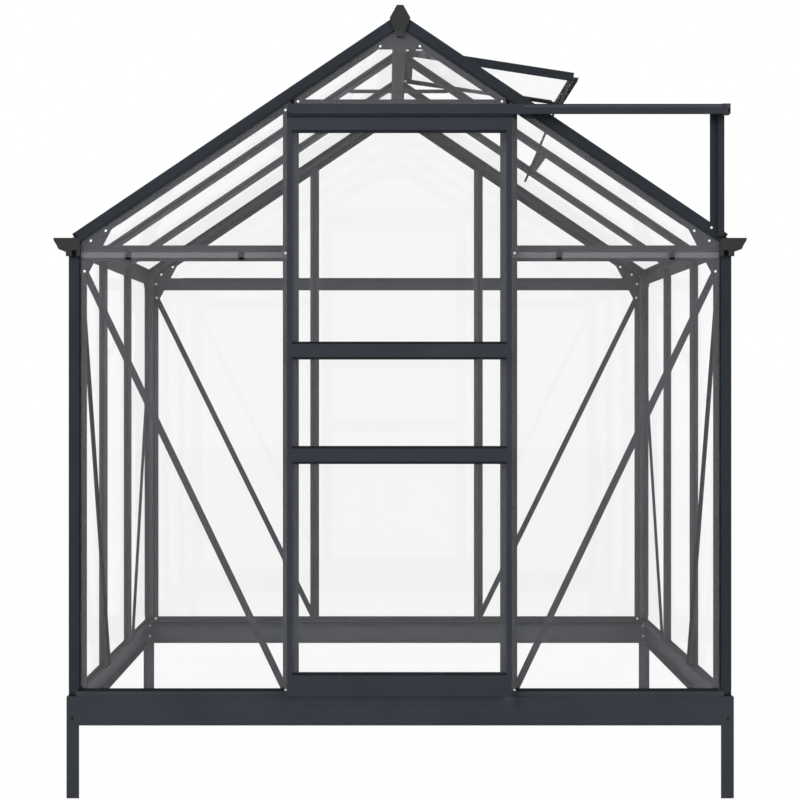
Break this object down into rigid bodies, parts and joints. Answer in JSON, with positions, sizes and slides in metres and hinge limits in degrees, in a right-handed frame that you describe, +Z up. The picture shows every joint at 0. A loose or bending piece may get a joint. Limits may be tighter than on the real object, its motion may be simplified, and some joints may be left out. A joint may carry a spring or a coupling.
{
  "type": "greenhouse",
  "caption": "Small glass greenhouse with a pitched roof, powder-coated aluminium frame on a steel base with ground stakes, sliding front door, propped roof vent, gutters.",
  "frame": {"origin": "at the level of the stake feet, under the middle of the whole outline", "axes": "+Z up, front with the door towards -Y, door slides open towards +X"},
  "size_m": [1.9414, 1.919, 2.2226],
  "materials": {
    "steel_coat": "anthracite powder coat on folded galvanised steel",
    "frame_coat": "anthracite powder coat on extruded aluminium",
    "door_coat": "anthracite powder coat on extruded aluminium",
    "cap_plastic": "moulded dark grey plastic",
    "roller_plastic": "moulded black nylon",
    "clear_glass": "clear horticultural glass"
  },
  "bodies": {
    "house": {"base_front": "steel_coat", "base_rear": "steel_coat", "base_left": "steel_coat", "base_right": "steel_coat", "ground_stakes": "steel_coat", "sill_front": "frame_coat", "sill_rear": "frame_coat", "sill_left": "frame_coat", "sill_right": "frame_coat", "corner_posts": "frame_coat", "door_jambs": "frame_coat", "rear_mullions": "frame_coat", "gable_rails": "frame_coat", "door_header": "frame_coat", "rafters_left": "frame_coat", "rafters_right": "frame_coat", "roof_bars_left": "frame_coat", "roof_bars_right": "frame_coat", "wall_bars_left": "frame_coat", "wall_bars_right": "frame_coat", "ridge_beam": "frame_coat", "eave_gutter_left": "frame_coat", "eave_gutter_right": "frame_coat", "gable_braces": "frame_coat", "side_braces": "frame_coat", "gusset_plates": "frame_coat", "roof_ties": "frame_coat", "vent_frame": "frame_coat", "vent_stay": "frame_coat", "vent_transom": "frame_coat", "track_rail": "frame_coat", "track_post": "frame_coat", "end_caps": "cap_plastic", "front_glass": "clear_glass", "rear_glass": "clear_glass", "left_glass": "clear_glass", "right_glass": "clear_glass", "roof_glass_left": "clear_glass", "roof_glass_right": "clear_glass", "vent_glass": "clear_glass"},
    "door": {"door_stiles": "door_coat", "door_rails": "door_coat", "door_glass": "clear_glass", "door_rollers": "roller_plastic"}
  },
  "joints": [
    {"name": "door_slide", "type": "slide", "parent": "house", "child": "door", "axis": [1, 0, 0], "range_m": [0, 0.585]}
  ]
}
